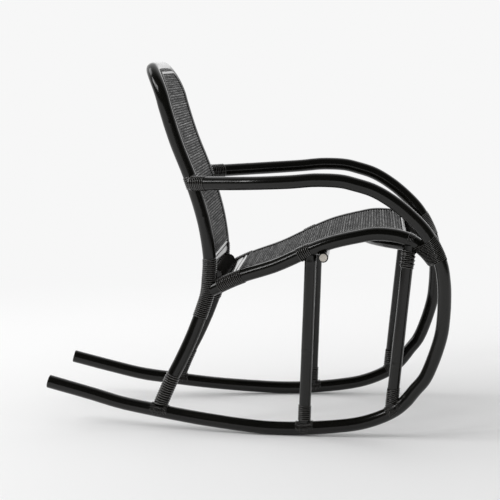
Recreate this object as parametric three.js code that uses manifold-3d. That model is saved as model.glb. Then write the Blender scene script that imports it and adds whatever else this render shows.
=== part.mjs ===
// Rattan rocking chair: two bent side poles, a bent back hoop, a waterfall seat and woven panels.
// Millimetres, +Z up, the chair faces +X, and its right side is at -Y.

import * as THREE from 'three';
import * as BufferGeometryUtils from 'three/addons/utils/BufferGeometryUtils.js';
import Module from 'manifold-3d';

const wasm = await Module();
wasm.setup();

// Overall sizes
const chairDepth = 900;
const backHeight = 798;
const armHeight = 564;
const seatHeight = 445;
const rockerRise = 84;
const armHalfSpread = 291;
const rockerHalfSpread = 235;
const backHalfSpread = 172;

// Poles and bars
const poleDiameter = 30;
const legDiameter = 26;
const crossbarDiameter = 26;
const underBarDiameter = 22;
const edgeBarDiameter = 9;
const hoopCornerRadius = 80;
const hoopCurl = 17;
const scarfLength = 70;
const rearBarAhead = 16.8;
const soleDepth = 0.3;

// Woven panels and their edge strips
const panelThickness = 3;
const panelLift = 11;
const beadWidth = 6;
const beadThickness = 2.4;

// Strands wound round the joints
const strandGap = 0.7;
const strandThickness = 1.7;
const saddlePitch = 6;

// Screws
const screwDiameter = 4.5;
const screwHeadDiameter = 9;
const screwHeadHeight = 3;
const screwLength = 58;
const screwSink = 2;

// Fits
const seatGap = 0.3;

// Windings placed by their distance along a pole, from the arm's end, the foot or the rail
const armWindingStart = 15.1;
const armWindingLength = 26.2;
const rearFootWindingStart = 31.2;
const rearFootWindingLength = 54.5;
const middleFootWindingStart = 23.6;
const frontFootWindingStart = 26.5;
const footWindingLength = 25.6;
const frontLegTopWindingStart = 32.2;
const frontLegTopWindingLength = 28.4;

// Counts
const poleSides = 12;
const woundSides = 16;
const barSides = 10;
const thinSides = 6;
const screwSides = 8;
const strandSteps = 8;
const jointArcSteps = 5;
const sidePoleSteps = 50;
const backSteps = 60;
const railSteps = 20;
const braceSteps = 12;
const panelRows = 18;
const cornerSteps = 8;
const pathDivisions = 800;
const searchSamples = 500;
const nearestSamples = 200;

// Places of legs and bars, as shares of the chair's depth, and of the height that they stand at
const armAttachShare = 0.974;
const rearFootShare = -0.213;
const middleLegFootShare = 0.151;
const middleLegTopShare = 0.1655;
const frontLegFootShare = 0.361;
const frontLegTopShare = 0.403;
const rearBarHeightShare = 0.764;
const frontBarShare = 0.4155;
const underBarShare = 0.196;
const braceHeightShare = 0.945;
const backBarHeightShare = 0.8604;
const seatRearBarShare = -0.018;
const seatFrontBarShare = 0.387;
const scarfCentreShare = 0.7056;
const railStartHeightShare = 0.688;

// Windings: where each starts and ends, as shares of the arm's height, the seat's height or the depth
const postWindingShares = [0.953, 0.9984];
const scarfWindingShares = [0.852, 0.5616];
const railRearWindingShares = [-0.056, -0.002];
const railMiddleWindingShares = [0.136, 0.166];
const frontWindingShares = [0.422, 0.46];

// Turns
const armTurns = 4;
const postTurns = 4;
const scarfTurns = 13;
const railRearTurns = 9;
const railMiddleTurns = 5;
const frontTurns = 12;
const frontLegTurns = 5;
const rearFootTurns = 8;
const footTurns = 4;
const saddleRibPitches = [-2.833, -1.833, 1.833, 2.833];
const saddleReach = 1.75;
const saddleSteps = 5;

// Stretches of the poles whose windings the panels are cut round
const scarfWoundTopShare = 0.9;
const armWoundShares = [0.9302, 1.0226];
const railWoundShares = [0.012, 0.122, 0.175];

// Shares of a path's length
const middleShare = 0.5;
const loopFromShare = 0.2;

// Other ratios
const hoopLeanShare = 0.22;
const splayTopShare = 0.4;
const loopSpreadShare = 0.96;
const nearRings = 4;
const braceEndAngle = Math.PI / 4;

const poleRadius = poleDiameter / 2;
const legRadius = legDiameter / 2;
const crossbarRadius = crossbarDiameter / 2;
const underBarRadius = underBarDiameter / 2;
const edgeBarRadius = edgeBarDiameter / 2;
const axisY = new THREE.Vector3(0, 1, 0);
const axisZ = new THREE.Vector3(0, 0, 1);
const sides = { right: -1, left: 1 };
const fullTurn = 2 * Math.PI;

// A bent pole's centreline, whose section is turned by a fixed direction, or by one for each point
class BentPath extends THREE.CatmullRomCurve3 {
  constructor(points, reference) {
    super(points, false, 'centripetal');
    this.referenceAt = typeof reference === 'function' ? reference : () => reference;
    this.arcLengthDivisions = pathDivisions;
  }

  frameAt(share) {
    const point = this.getPointAt(share);
    const tangent = this.getTangentAt(share);
    const reference = this.referenceAt(point);
    const normal = reference.clone().addScaledVector(tangent, -reference.dot(tangent));
    normal.normalize();
    const binormal = new THREE.Vector3().crossVectors(tangent, normal);
    return { point, tangent, normal, binormal };
  }

  computeFrenetFrames(segments) {
    return framesAlong(this, segments);
  }

  // A frame on the straight chords between the pole's rings, so that what is wound on it fits
  chordFrameAt(share, steps) {
    const place = THREE.MathUtils.clamp(share, 0, 1) * steps;
    const before = Math.min(Math.floor(place), steps - 1);
    const from = this.frameAt(before / steps);
    const to = this.frameAt((before + 1) / steps);
    for (const key of Object.keys(from)) {
      from[key].lerp(to[key], place - before);
    }
    return from;
  }

  // The share of the length, between two shares, where a coordinate first reaches a value
  shareWhere(axis, value, fromShare, toShare) {
    const shareOf = (i) => fromShare + ((toShare - fromShare) * i) / searchSamples;
    let before = this.getPointAt(shareOf(0))[axis];
    for (let i = 1; i <= searchSamples; i++) {
      const after = this.getPointAt(shareOf(i))[axis];
      if ((before - value) * (after - value) <= 0 && after !== before) {
        return shareOf(i - (after - value) / (after - before));
      }
      before = after;
    }
    return toShare;
  }
}

function framesAlong(path, segments) {
  const frames = { tangents: [], normals: [], binormals: [] };
  for (let i = 0; i <= segments; i++) {
    const frame = path.frameAt(i / segments);
    frames.tangents.push(frame.tangent);
    frames.normals.push(frame.normal);
    frames.binormals.push(frame.binormal);
  }
  return frames;
}

// Solids
function tube(path, radius, count, steps) {
  const section = [];
  for (let i = 0; i < count; i++) {
    const angle = ((i + 0.5) * fullTurn) / count;
    section.push(new THREE.Vector2(radius * Math.cos(angle), radius * Math.sin(angle)));
  }
  const settings = { steps, extrudePath: path, bevelEnabled: false };
  return new THREE.ExtrudeGeometry(new THREE.Shape(section), settings);
}

function straightPath(from, to, reference) {
  return new BentPath([from, from.clone().lerp(to, middleShare), to], reference);
}

function toSolid(geometry) {
  const bare = geometry.clone();
  bare.deleteAttribute('normal');
  bare.deleteAttribute('uv');
  const merged = BufferGeometryUtils.mergeVertices(bare);
  const mesh = new wasm.Mesh({
    numProp: 3,
    vertProperties: new Float32Array(merged.attributes.position.array),
    triVerts: new Uint32Array(merged.index.array),
  });
  return new wasm.Manifold(mesh);
}

function toGeometry(solid) {
  const mesh = solid.getMesh();
  const geometry = new THREE.BufferGeometry();
  geometry.setAttribute('position', new THREE.BufferAttribute(new Float32Array(mesh.vertProperties), 3));
  geometry.setIndex(new THREE.BufferAttribute(new Uint32Array(mesh.triVerts), 1));
  return geometry;
}

// A solid cut to fit round its neighbours, without the loose offcuts
function cope(solid, cutters) {
  let result = solid;
  for (const cutter of cutters) {
    result = result.subtract(cutter);
  }
  const pieces = result.decompose();
  pieces.sort((a, b) => b.volume() - a.volume());
  return pieces[0];
}

// A closed solid from a row of rings with equal counts of points
function loft(rings) {
  const count = rings[0].length;
  const positions = [];
  const index = [];
  for (const ring of rings) {
    for (const point of ring) {
      positions.push(point.x, point.y, point.z);
    }
  }
  for (let i = 0; i + 1 < rings.length; i++) {
    for (let j = 0; j < count; j++) {
      const a = i * count + j;
      const b = i * count + ((j + 1) % count);
      index.push(a, b, b + count, a, b + count, a + count);
    }
  }
  const last = (rings.length - 1) * count;
  for (let j = 1; j + 1 < count; j++) {
    index.push(0, j + 1, j);
    index.push(last, last + j, last + j + 1);
  }
  const geometry = new THREE.BufferGeometry();
  geometry.setAttribute('position', new THREE.BufferAttribute(new Float32Array(positions), 3));
  geometry.setIndex(insideVolume(positions, index) < 0 ? index.reverse() : index);
  return geometry;
}

function insideVolume(positions, index) {
  const corner = (i) => new THREE.Vector3().fromArray(positions, 3 * index[i]);
  let volume = 0;
  for (let i = 0; i < index.length; i += 3) {
    volume += corner(i).dot(corner(i + 1).cross(corner(i + 2)));
  }
  return volume;
}

// Bent shapes, as shares of the sizes that they follow
const armPointShares = [
  [-0.067, 0.797, 0.978],
  [0.027, 0.921, 0.984],
  [0.117, 0.983, 0.992],
  [0.178, 1, 1],
  [0.239, 0.997, 0.996],
  [0.271, 0.993, 0.984],
  [0.314, 0.986, 0.962],
  [0.356, 0.979, 0.924],
  [0.4, 0.973, 0.868],
  [0.4405, 0.966, 0.798],
  [0.4745, 0.962, 0.69],
  [0.4835, 0.96, 0.61],
  [0.485, 0.959, 0.545],
  [0.483, 0.959, 0.471],
  [0.478, 0.959, 0.41],
  [0.4585, 0.945, 0.307],
  [0.4395, 0.935, 0.2385],
];
const rockerPointShares = [
  [0.418, 1.136, 1.131],
  [0.3945, 1.119, 0.81],
  [0.371, 1.102, 0.583],
  [0.3355, 1.081, 0.375],
  [0.287, 1.06, 0.196],
  [0.227, 1.038, 0.089],
  [0.147, 1.013, 0.015],
  [0.098, 1, 0],
  [0.043, 0.983, 0.015],
  [-0.107, 0.889, 0.161],
  [-0.239, 0.804, 0.363],
  [-0.306, 0.762, 0.482],
  [-0.384, 0.723, 0.696],
  [-0.492, 0.702, 1],
];
const postPointShares = [
  [-0.2043, 0.945],
  [-0.1926, 0.8875],
  [-0.1681, 0.802],
  [-0.1333, 0.702],
  [-0.1063, 0.608],
  [-0.0945, 0.551],
  [-0.0858, 0.472],
  [-0.088, 0.42],
  [-0.092, 0.378],
  [-0.102, 0.3405],
  [-0.1135, 0.304],
  [-0.132, 0.2515],
  [-0.155, 0.195],
  [-0.18, 0.139],
];
const railPointShares = [
  [-0.04, 0.742],
  [0.001, 0.778],
  [0.078, 0.832],
  [0.1655, 0.915],
  [0.2165, 0.955],
  [0.2825, 0.988],
  [0.317, 1],
  [0.355, 0.998],
  [0.387, 0.985],
  [0.4155, 0.958],
  [0.442, 0.915],
  [0.4625, 0.865],
];

// Strands stand proud of the pole that they are wound on
function strandInner(radius) {
  return (radius + seatGap) / Math.cos(Math.PI / strandSteps);
}

function woundRadius(radius) {
  return strandInner(radius) + strandThickness;
}
const poleWound = woundRadius(poleRadius);
const poleCut = poleRadius + seatGap;
const poleWoundCut = (poleWound + seatGap) / Math.cos(Math.PI / woundSides);

// The post seen from the side, for what is set against it
const postSide = new BentPath(
  postPointShares.map(([x, z]) => new THREE.Vector3(x * chairDepth, 0, z * backHeight)).reverse(),
  axisY,
);

function postDepthAt(height) {
  return postSide.getPointAt(postSide.shareWhere('z', height, 0, 1)).x;
}

// Side poles: one pole makes the arm, the front loop and the rocker
const sidePath = {};
for (const [name, side] of Object.entries(sides)) {
  const place = ([x, y, z], spread, height) => {
    return new THREE.Vector3(x * chairDepth, side * y * spread, height(z));
  };
  const armEndSpread = backHalfSpread + poleRadius + poleWound;
  const armEndHeight = armAttachShare * armHeight;
  const armPoint = (shares) => place(shares, armHalfSpread, (z) => z * armHeight);
  const rockerPoint = (shares) => place(shares, rockerHalfSpread, (z) => poleRadius + z * rockerRise);
  const points = [
    new THREE.Vector3(postDepthAt(armEndHeight), side * armEndSpread, armEndHeight),
    ...armPointShares.map(armPoint),
    ...rockerPointShares.map(rockerPoint),
  ];
  sidePath[name] = new BentPath(points, axisY);
}

function rockerShareAt(name, x) {
  return sidePath[name].shareWhere('x', x, 1, middleShare);
}

// Back pole: foot, S-bend, post and rounded top corner, the same on both sides
const cornerStart = backHeight - hoopCornerRadius;

// Square to the back's face, which leans and curls to the rear over the corners' height
function hoopNormalAt(point) {
  const rise = Math.max(0, point.z - cornerStart) / hoopCornerRadius;
  const slope = hoopLeanShare + (2 * hoopCurl * rise) / hoopCornerRadius;
  return new THREE.Vector3(1, 0, slope).normalize();
}

function backHalfPoints(name) {
  const side = sides[name];
  const foot = sidePath[name].getPointAt(rockerShareAt(name, rearFootShare * chairDepth));
  const footSpread = Math.abs(foot.y);
  const corner = [];
  for (let i = 0; i <= cornerSteps; i++) {
    const angle = ((i / cornerSteps) * Math.PI) / 2;
    const rise = hoopCornerRadius * Math.sin(angle);
    const x = postDepthAt(cornerStart) - hoopLeanShare * rise - hoopCurl * Math.sin(angle) ** 2;
    const y = backHalfSpread - hoopCornerRadius * (1 - Math.cos(angle));
    corner.push(new THREE.Vector3(x, side * y, cornerStart + rise));
  }
  const post = [];
  for (const [x, z] of postPointShares) {
    const splay = Math.max(0, 1 - z / splayTopShare);
    const y = backHalfSpread + (footSpread - backHalfSpread) * splay;
    if (z * backHeight < cornerStart - poleRadius) {
      post.push(new THREE.Vector3(x * chairDepth, side * y, z * backHeight));
    }
  }
  return [foot, ...post.reverse(), ...corner];
}
const backPath = new BentPath([...backHalfPoints('left'), ...backHalfPoints('right').reverse()], hoopNormalAt);

function backShareAt(name, height) {
  return backPath.shareWhere('z', height, name === 'left' ? 0 : 1, middleShare);
}

// Seat rails: from the back posts, over the waterfall front, down inside the front loops
const railRearSpread = backHalfSpread;
const railFrontSpread = loopSpreadShare * armHalfSpread - poleDiameter - 2 * seatGap;
const railPath = {};
for (const [name, side] of Object.entries(sides)) {
  const startHeight = railStartHeightShare * seatHeight;
  const firstX = postDepthAt(startHeight);
  const lastX = railPointShares[railPointShares.length - 1][0] * chairDepth;
  const place = (x, z) => {
    const widening = Math.sin((((x - firstX) / (lastX - firstX)) * Math.PI) / 2);
    const y = railRearSpread + (railFrontSpread - railRearSpread) * widening;
    return new THREE.Vector3(x, side * y, z);
  };
  const forward = railPointShares.map(([x, z]) => place(x * chairDepth, z * seatHeight));
  const points = [place(firstX, startHeight), ...forward];
  railPath[name] = new BentPath(points, axisY);
}

function railShareAt(name, x) {
  return railPath[name].shareWhere('x', x, 0, 1);
}

function railPointAt(name, x) {
  return railPath[name].getPointAt(railShareAt(name, x));
}

// Cutters along the poles, bare and wound
const bareSide = {};
const woundSide = {};
const bareRail = {};
const woundRail = {};
const bareBack = toSolid(tube(backPath, poleCut, poleSides, backSteps));
const woundBack = toSolid(tube(backPath, poleWoundCut, woundSides, backSteps));
for (const name of Object.keys(sides)) {
  bareSide[name] = toSolid(tube(sidePath[name], poleCut, poleSides, sidePoleSteps));
  woundSide[name] = toSolid(tube(sidePath[name], poleWoundCut, woundSides, sidePoleSteps));
  bareRail[name] = toSolid(tube(railPath[name], poleCut, poleSides, railSteps));
  woundRail[name] = toSolid(tube(railPath[name], poleWoundCut, woundSides, railSteps));
}
const bothWoundRails = [woundRail.right, woundRail.left];
const bothBareRails = [bareRail.right, bareRail.left];

// The middle legs stop under a winding, the front legs under the bare rail just behind one
const legTopCutter = { middle: woundRail, front: {} };
for (const name of Object.keys(sides)) {
  const start = frontWindingShares[0] * chairDepth - poleRadius;
  const underWinding = woundRail[name].trimByPlane([1, 0, 0], start);
  legTopCutter.front[name] = bareRail[name].add(underWinding);
}

// The assembly
const chair = new THREE.Group();
const lacquer = { color: 0x14120f, roughness: 0.22, metalness: 0 };
const strand = { color: 0x1a1814, roughness: 0.35, metalness: 0 };
const cane = { color: 0x2b2a28, roughness: 0.6, metalness: 0 };
const steel = { color: 0x6b6a68, roughness: 0.4, metalness: 1 };

function add(name, geometry, finish) {
  const mesh = new THREE.Mesh(geometry, new THREE.MeshStandardMaterial(finish));
  mesh.name = name;
  chair.add(mesh);
}

// Screws: a conical head, a shank and a point, from the head's face along a direction
function lathedAlong(points, start, direction) {
  const geometry = new THREE.LatheGeometry(points, screwSides);
  geometry.applyQuaternion(new THREE.Quaternion().setFromUnitVectors(axisY, direction));
  geometry.translate(start.x, start.y, start.z);
  return toSolid(geometry);
}

function screwProfile(clearance, openLength, pointLength) {
  const shank = screwDiameter / 2 + clearance;
  const head = screwHeadDiameter / 2 + clearance;
  return [
    new THREE.Vector2(0, -openLength),
    new THREE.Vector2(head, -openLength),
    new THREE.Vector2(head, clearance),
    new THREE.Vector2(shank, screwHeadHeight + clearance),
    new THREE.Vector2(shank, screwLength + clearance - pointLength),
    new THREE.Vector2(0, screwLength + clearance),
  ];
}

function addFootScrew(name, foot, direction) {
  const start = foot.clone().addScaledVector(direction, screwSink - poleRadius);
  add(name, toGeometry(lathedAlong(screwProfile(0, 0, screwDiameter), start, direction)), steel);
  return lathedAlong(screwProfile(seatGap, screwSink + seatGap * screwDiameter, 0), start, direction);
}

// Legs
const legPath = { middle: {}, front: {} };
const footBores = { right: [], left: [] };
for (const name of Object.keys(sides)) {
  const spans = {
    middle: [middleLegFootShare, middleLegTopShare],
    front: [frontLegFootShare, frontLegTopShare],
  };
  for (const [kind, [footShare, topShare]] of Object.entries(spans)) {
    const foot = sidePath[name].getPointAt(rockerShareAt(name, footShare * chairDepth));
    const top = railPointAt(name, topShare * chairDepth);
    const path = straightPath(foot, top, axisY);
    legPath[kind][name] = path;
    const direction = top.clone().sub(foot).normalize();
    const bore = addFootScrew(`${kind}_leg_screw_${name}`, foot, direction);
    footBores[name].push(bore);
    const solid = toSolid(tube(path, legRadius, barSides, 2));
    const cutters = [woundSide[name], legTopCutter[kind][name], bore];
    add(`${kind}_leg_${name}`, toGeometry(cope(solid, cutters)), lacquer);
  }
}

// The back pole is cut in three by an oblique scarf joint in each post, hidden by a winding
function scarfCutter(name) {
  const frame = backPath.frameAt(backShareAt(name, scarfCentreShare * seatHeight));
  const up = frame.tangent.clone().multiplyScalar(sides[name]);
  const angle = Math.atan2(poleDiameter, scarfLength);
  const along = up.clone().multiplyScalar(Math.cos(angle)).addScaledVector(frame.normal, -Math.sin(angle));
  const across = new THREE.Vector3().crossVectors(axisY, along).normalize();
  const box = new THREE.BoxGeometry(seatGap, 2 * poleDiameter, 2 * scarfLength);
  const lateral = new THREE.Vector3().crossVectors(along, across);
  box.applyMatrix4(new THREE.Matrix4().makeBasis(across, lateral, along));
  box.translate(frame.point.x, frame.point.y, frame.point.z);
  return toSolid(box);
}

function addBackPoles() {
  let whole = toSolid(tube(backPath, poleRadius, poleSides, backSteps));
  for (const name of Object.keys(sides)) {
    whole = whole.subtract(scarfCutter(name));
  }
  const pieces = whole.decompose();
  pieces.sort((a, b) => b.volume() - a.volume());
  add('back_hoop', toGeometry(pieces[0]), lacquer);
  for (const [name, side] of Object.entries(sides)) {
    const footShare = name === 'left' ? 0 : 1;
    const foot = backPath.getPointAt(footShare);
    const direction = backPath.getTangentAt(footShare).multiplyScalar(side);
    const bore = addFootScrew(`rear_leg_screw_${name}`, foot, direction);
    footBores[name].push(bore);
    const leg = pieces.slice(1, 3).find((piece) => side * piece.boundingBox().max[1] > 0);
    add(`rear_leg_${name}`, toGeometry(cope(leg, [woundSide[name], bore])), lacquer);
  }
}

function addSidePoles() {
  for (const name of Object.keys(sides)) {
    const whole = toSolid(tube(sidePath[name], poleRadius, poleSides, sidePoleSteps));
    const fitted = cope(whole, [woundBack, ...footBores[name]]);
    const lowest = fitted.boundingBox().min[2];
    const below = new THREE.BoxGeometry(chairDepth, poleDiameter * 4, poleDiameter);
    below.translate(0, sides[name] * rockerHalfSpread, lowest + soleDepth - poleRadius);
    add(`side_pole_${name}`, toGeometry(cope(fitted, [toSolid(below)])), lacquer);
  }
}

addBackPoles();
addSidePoles();

// Seat rails
for (const name of Object.keys(sides)) {
  const solid = toSolid(tube(railPath[name], poleRadius, poleSides, railSteps));
  add(`seat_rail_${name}`, toGeometry(cope(solid, [woundBack, bareSide[name]])), lacquer);
}

// Crossbars, between the rails and behind the legs
function crossPath(x, z, halfLength) {
  const from = new THREE.Vector3(x, -halfLength, z);
  const to = new THREE.Vector3(x, halfLength, z);
  return straightPath(from, to, axisZ);
}

const rearBarHeight = rearBarHeightShare * seatHeight;
const rearBarPath = crossPath(postDepthAt(rearBarHeight) + rearBarAhead, rearBarHeight, backHalfSpread);
const rearBarSolid = toSolid(tube(rearBarPath, crossbarRadius, barSides, 2));
add('rear_crossbar', toGeometry(cope(rearBarSolid, [woundBack, ...bothWoundRails])), lacquer);

const frontBarSeat = railPointAt('left', frontBarShare * chairDepth);
const frontBarSolid = toSolid(
  tube(crossPath(frontBarSeat.x, frontBarSeat.z, frontBarSeat.y), crossbarRadius, barSides, 2),
);
const bothWoundSides = [woundSide.right, woundSide.left];
add('front_crossbar', toGeometry(cope(frontBarSolid, [...bothWoundRails, ...bothWoundSides])), lacquer);

const underBarSeat = railPointAt('left', underBarShare * chairDepth);
const underBarDrop = poleRadius + underBarRadius;
const underBarReach = underBarSeat.y + poleRadius;
const underBarPath = crossPath(underBarSeat.x, underBarSeat.z - underBarDrop, underBarReach);
const underBarSolid = toSolid(tube(underBarPath, underBarRadius, barSides, 2));
add('middle_crossbar', toGeometry(cope(underBarSolid, bothBareRails)), lacquer);

// Bow brace: an arc between the tops of the front legs, bowed to the rear
function addBowBrace() {
  const height = braceHeightShare * seatHeight;
  const leg = legPath.front.left;
  const end = leg.getPointAt(leg.shareWhere('z', height, 0, 1));
  const radius = end.y / Math.sin(braceEndAngle);
  const centreX = end.x + radius * Math.cos(braceEndAngle);
  const points = [];
  for (let i = 0; i <= braceSteps; i++) {
    const angle = braceEndAngle * ((2 * i) / braceSteps - 1);
    points.push(new THREE.Vector3(centreX - radius * Math.cos(angle), radius * Math.sin(angle), height));
  }
  const path = new BentPath(points, axisZ);
  const solid = toSolid(tube(path, underBarRadius, barSides, braceSteps));
  const legCutters = Object.keys(sides).map((name) => {
    return toSolid(tube(legPath.front[name], legRadius + seatGap, barSides, 2));
  });
  add('bow_brace', toGeometry(cope(solid, [...legCutters, ...bothBareRails])), lacquer);
}
addBowBrace();

// Back panel, its lower bar and its edge strip
const panelEdge = Math.sqrt((poleWound + seatGap) ** 2 - (panelLift - panelThickness / 2) ** 2) + seatGap;
const barLift = panelLift + panelThickness / 2 - edgeBarRadius;
const panelInset = poleRadius / 2;

// The stretch of a wound cutter between two values of a coordinate
function woundStretch(solid, axis, from, to) {
  const direction = axis === 'x' ? [1, 0, 0] : [0, 0, 1];
  const opposite = direction.map((value) => -value);
  return solid.trimByPlane(direction, from).trimByPlane(opposite, -to);
}

function backEdgePoint(share, inset, lift) {
  const frame = backPath.frameAt(share);
  const point = frame.point.clone().addScaledVector(frame.binormal, backInward * inset);
  return point.addScaledVector(frame.normal, lift);
}
const middleFrame = backPath.frameAt(middleShare);
const backInward = middleFrame.binormal.z < 0 ? 1 : -1;
const backBarHeight = backBarHeightShare * seatHeight;
const cornerEnd = backHalfSpread - hoopCornerRadius;
const cornerEndShare = backPath.shareWhere('y', cornerEnd, middleShare / 2, middleShare);
const backPanelStart = backPath.shareWhere('z', backBarHeight + edgeBarRadius, 0, middleShare);

function backPanelShare(row) {
  return backPanelStart + ((cornerEndShare - backPanelStart) * row) / panelRows;
}

function mirrored(point) {
  return new THREE.Vector3(point.x, -point.y, point.z);
}

function addBackPanel() {
  const half = panelThickness / 2;
  const rings = [];
  for (let row = 0; row <= panelRows; row++) {
    const front = backEdgePoint(backPanelShare(row), panelInset, panelLift + half);
    const rear = backEdgePoint(backPanelShare(row), panelInset, panelLift - half);
    rings.push([front, mirrored(front), mirrored(rear), rear]);
  }
  const [armLow, armHigh] = armWoundShares.map((share) => share * armHeight);
  const underScarf = woundStretch(woundBack, 'z', 0, scarfWoundTopShare * seatHeight);
  const underArm = woundStretch(woundBack, 'z', armLow, armHigh);
  add('back_panel', toGeometry(cope(toSolid(loft(rings)), [bareBack, underScarf, underArm])), cane);
  const bar = backEdgePoint(backPath.shareWhere('z', backBarHeight, 0, middleShare), 0, barLift);
  const solid = toSolid(tube(crossPath(bar.x, bar.z, backHalfSpread), edgeBarRadius, thinSides, 2));
  add('back_panel_bar', toGeometry(cope(solid, [woundBack])), lacquer);
}

function addBackBead() {
  const low = panelLift + panelThickness / 2 + seatGap;
  const high = low + beadThickness;
  const rings = [];
  const shares = [];
  for (let row = 0; row <= panelRows; row++) {
    shares.push(backPanelShare(row));
  }
  const all = [...shares, ...shares.map((share) => 1 - share).reverse()];
  for (const share of all) {
    const inner = panelEdge + beadWidth;
    rings.push([
      backEdgePoint(share, panelEdge, low),
      backEdgePoint(share, inner, low),
      backEdgePoint(share, inner, high),
      backEdgePoint(share, panelEdge, high),
    ]);
  }
  add('back_edge_strip', loft(rings), strand);
}
addBackPanel();
addBackBead();

// Seat panel, its end bars and its edge strips
const seatBarGap = edgeBarRadius + panelThickness / 2;

function seatShares() {
  const path = railPath.left;
  const slack = seatBarGap / path.getLength();
  const from = railShareAt('left', seatRearBarShare * chairDepth) + slack;
  const to = railShareAt('left', seatFrontBarShare * chairDepth) - slack;
  const list = [];
  for (let row = 0; row <= panelRows; row++) {
    list.push(from + ((to - from) * row) / panelRows);
  }
  return list;
}

function seatEdgePoint(share, inset, lift) {
  const frame = railPath.left.frameAt(share);
  const up = new THREE.Vector3().crossVectors(frame.tangent, axisY).normalize();
  if (up.z < 0) {
    up.negate();
  }
  const inward = new THREE.Vector3().crossVectors(frame.tangent, up);
  return frame.point.clone().addScaledVector(up, lift).addScaledVector(inward, inset);
}

function addSeatPanel() {
  const half = panelThickness / 2;
  const rings = seatShares().map((share) => {
    const top = seatEdgePoint(share, panelInset, panelLift + half);
    const bottom = seatEdgePoint(share, panelInset, panelLift - half);
    return [top, mirrored(top), mirrored(bottom), bottom];
  });
  const cutters = [...bothBareRails];
  const [rearEnd, middleStart, middleEnd] = railWoundShares.map((share) => share * chairDepth);
  for (const rail of bothWoundRails) {
    cutters.push(woundStretch(rail, 'x', -chairDepth, rearEnd));
    cutters.push(woundStretch(rail, 'x', middleStart, middleEnd));
  }
  add('seat_panel', toGeometry(cope(toSolid(loft(rings)), cutters)), cane);
  const low = panelLift + half + seatGap;
  for (const name of Object.keys(sides)) {
    const strips = seatShares().map((share) => {
      const ring = [
        seatEdgePoint(share, panelEdge, low),
        seatEdgePoint(share, panelEdge + beadWidth, low),
        seatEdgePoint(share, panelEdge + beadWidth, low + beadThickness),
        seatEdgePoint(share, panelEdge, low + beadThickness),
      ];
      return name === 'left' ? ring : ring.map(mirrored);
    });
    add(`seat_edge_strip_${name}`, loft(strips), strand);
  }
}

function addSeatBar(name, xShare, cutters) {
  const seat = seatEdgePoint(railShareAt('left', xShare * chairDepth), 0, barLift);
  const solid = toSolid(tube(crossPath(seat.x, seat.z, seat.y), edgeBarRadius, thinSides, 2));
  add(name, toGeometry(cope(solid, cutters)), lacquer);
}
addSeatPanel();
addSeatBar('seat_rear_bar', seatRearBarShare, bothWoundRails);
addSeatBar('seat_front_bar', seatFrontBarShare, bothBareRails);

// Windings: each is one unbroken strand of triangular section, with its ridge outwards
function leastGap(rings) {
  let least = Infinity;
  for (let i = 0; i < rings.length; i++) {
    for (let j = i + nearRings; j < rings.length; j++) {
      for (const a of rings[i]) {
        for (const b of rings[j]) {
          least = Math.min(least, a.distanceTo(b));
        }
      }
    }
  }
  return least;
}

function addStrand(name, rings) {
  add(name, loft(rings), strand);
  console.log(`${name}: least gap to itself ${leastGap(rings).toFixed(2)} mm`);
}

function ringPoint(frame, angle, radius) {
  const point = frame.point.clone().addScaledVector(frame.normal, radius * Math.cos(angle));
  return point.addScaledVector(frame.binormal, radius * Math.sin(angle));
}

// How far along a leg a turn shifts on its way round, to lie level with the runner below
function slantShift(frame, angle, radius, runnerTangent) {
  const outward = ringPoint(frame, angle, radius).sub(frame.point);
  const level = frame.tangent.clone().addScaledVector(runnerTangent, -frame.tangent.dot(runnerTangent));
  return -outward.dot(level) / frame.tangent.dot(level);
}

// A helix round one pole, between two shares of its length
function addWinding(name, pole, [fromShare, toShare], turns, runnerTangent) {
  const inner = strandInner(pole.radius);
  const outer = inner + strandThickness;
  const length = pole.path.getLength() * Math.abs(toShare - fromShare);
  const halfWidth = ((length / turns - strandGap) / 2 / length) * (toShare - fromShare);
  const rings = [];
  for (let i = 0; i <= turns * strandSteps; i++) {
    const share = fromShare + ((toShare - fromShare) * i) / (turns * strandSteps);
    const angle = (i * fullTurn) / strandSteps;
    const middle = pole.path.chordFrameAt(share, pole.steps);
    const slantLength = runnerTangent ? slantShift(middle, angle, inner, runnerTangent) : 0;
    const slant = slantLength / pole.path.getLength();
    const frame = (shift) => pole.path.chordFrameAt(share + slant + shift, pole.steps);
    rings.push([
      ringPoint(frame(-halfWidth), angle, inner),
      ringPoint(frame(0), angle, outer),
      ringPoint(frame(halfWidth), angle, inner),
    ]);
  }
  addStrand(name, rings);
}

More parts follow.
